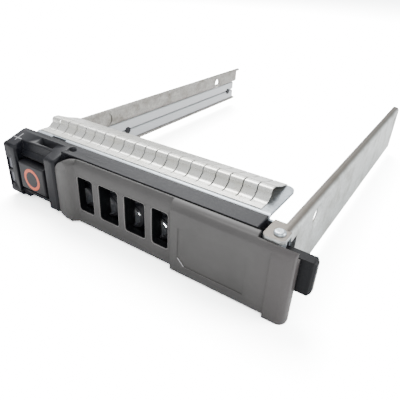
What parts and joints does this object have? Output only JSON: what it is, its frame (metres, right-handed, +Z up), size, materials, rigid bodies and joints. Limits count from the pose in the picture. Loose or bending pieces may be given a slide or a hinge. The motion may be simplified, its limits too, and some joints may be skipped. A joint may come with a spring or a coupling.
{
  "type": "hot swap drive caddy",
  "caption": "Open tray that holds a 2.5 inch drive between two steel rails, with a vented swing lever, release button, light pipes and spring contact fingers.",
  "frame": {"origin": "middle of the outer box in X and Y, on the plane that the caddy lies on", "axes": "+X along the front from the button to the lever's rivet, +Y from the front to the rear ends of the rails, +Z up, from the open underside to the contact fingers"},
  "size_m": [0.0812, 0.1124, 0.0192],
  "materials": {
    "black_plastic": "moulded, fine texture",
    "button_plastic": "moulded, with an orange ring printed on its face",
    "grey_plastic": "moulded, fine texture",
    "rail_steel": "zinc plated sheet",
    "shield_steel": "plated sheet",
    "finger_steel": "thin bright spring sheet",
    "fixing_steel": "plated, smooth",
    "spring_steel": "drawn wire",
    "clear_plastic": "clear moulded bar"
  },
  "bodies": {
    "caddy": {"front_frame": "black_plastic", "button_pin": "fixing_steel", "lever_rivet": "fixing_steel", "pivot_bush": "fixing_steel", "front_shield": "shield_steel", "contact_fingers": "finger_steel", "left_rail": "rail_steel", "right_rail": "rail_steel", "lower_light_pipe": "clear_plastic", "upper_light_pipe": "clear_plastic", "pipe_studs": "black_plastic", "frame_screws": "fixing_steel"},
    "lever": {"lever_cover": "grey_plastic", "lever_arm": "black_plastic", "lever_spring": "spring_steel"},
    "button": {"release_button": "button_plastic", "button_spring": "spring_steel"}
  },
  "joints": [
    {"name": "lever_hinge", "type": "hinge", "parent": "caddy", "child": "lever", "pos_m": [0.03313, -0.05255, 0.0086], "axis": [0, 0, 1], "range_deg": [0, 40]},
    {"name": "button_hinge", "type": "hinge", "parent": "caddy", "child": "button", "pos_m": [-0.03083, -0.05405, 0.0049], "axis": [-1, 0, 0], "range_deg": [0, 10], "stiffness_Nm_per_rad": 0.01, "springref_deg": -5.73}
  ]
}
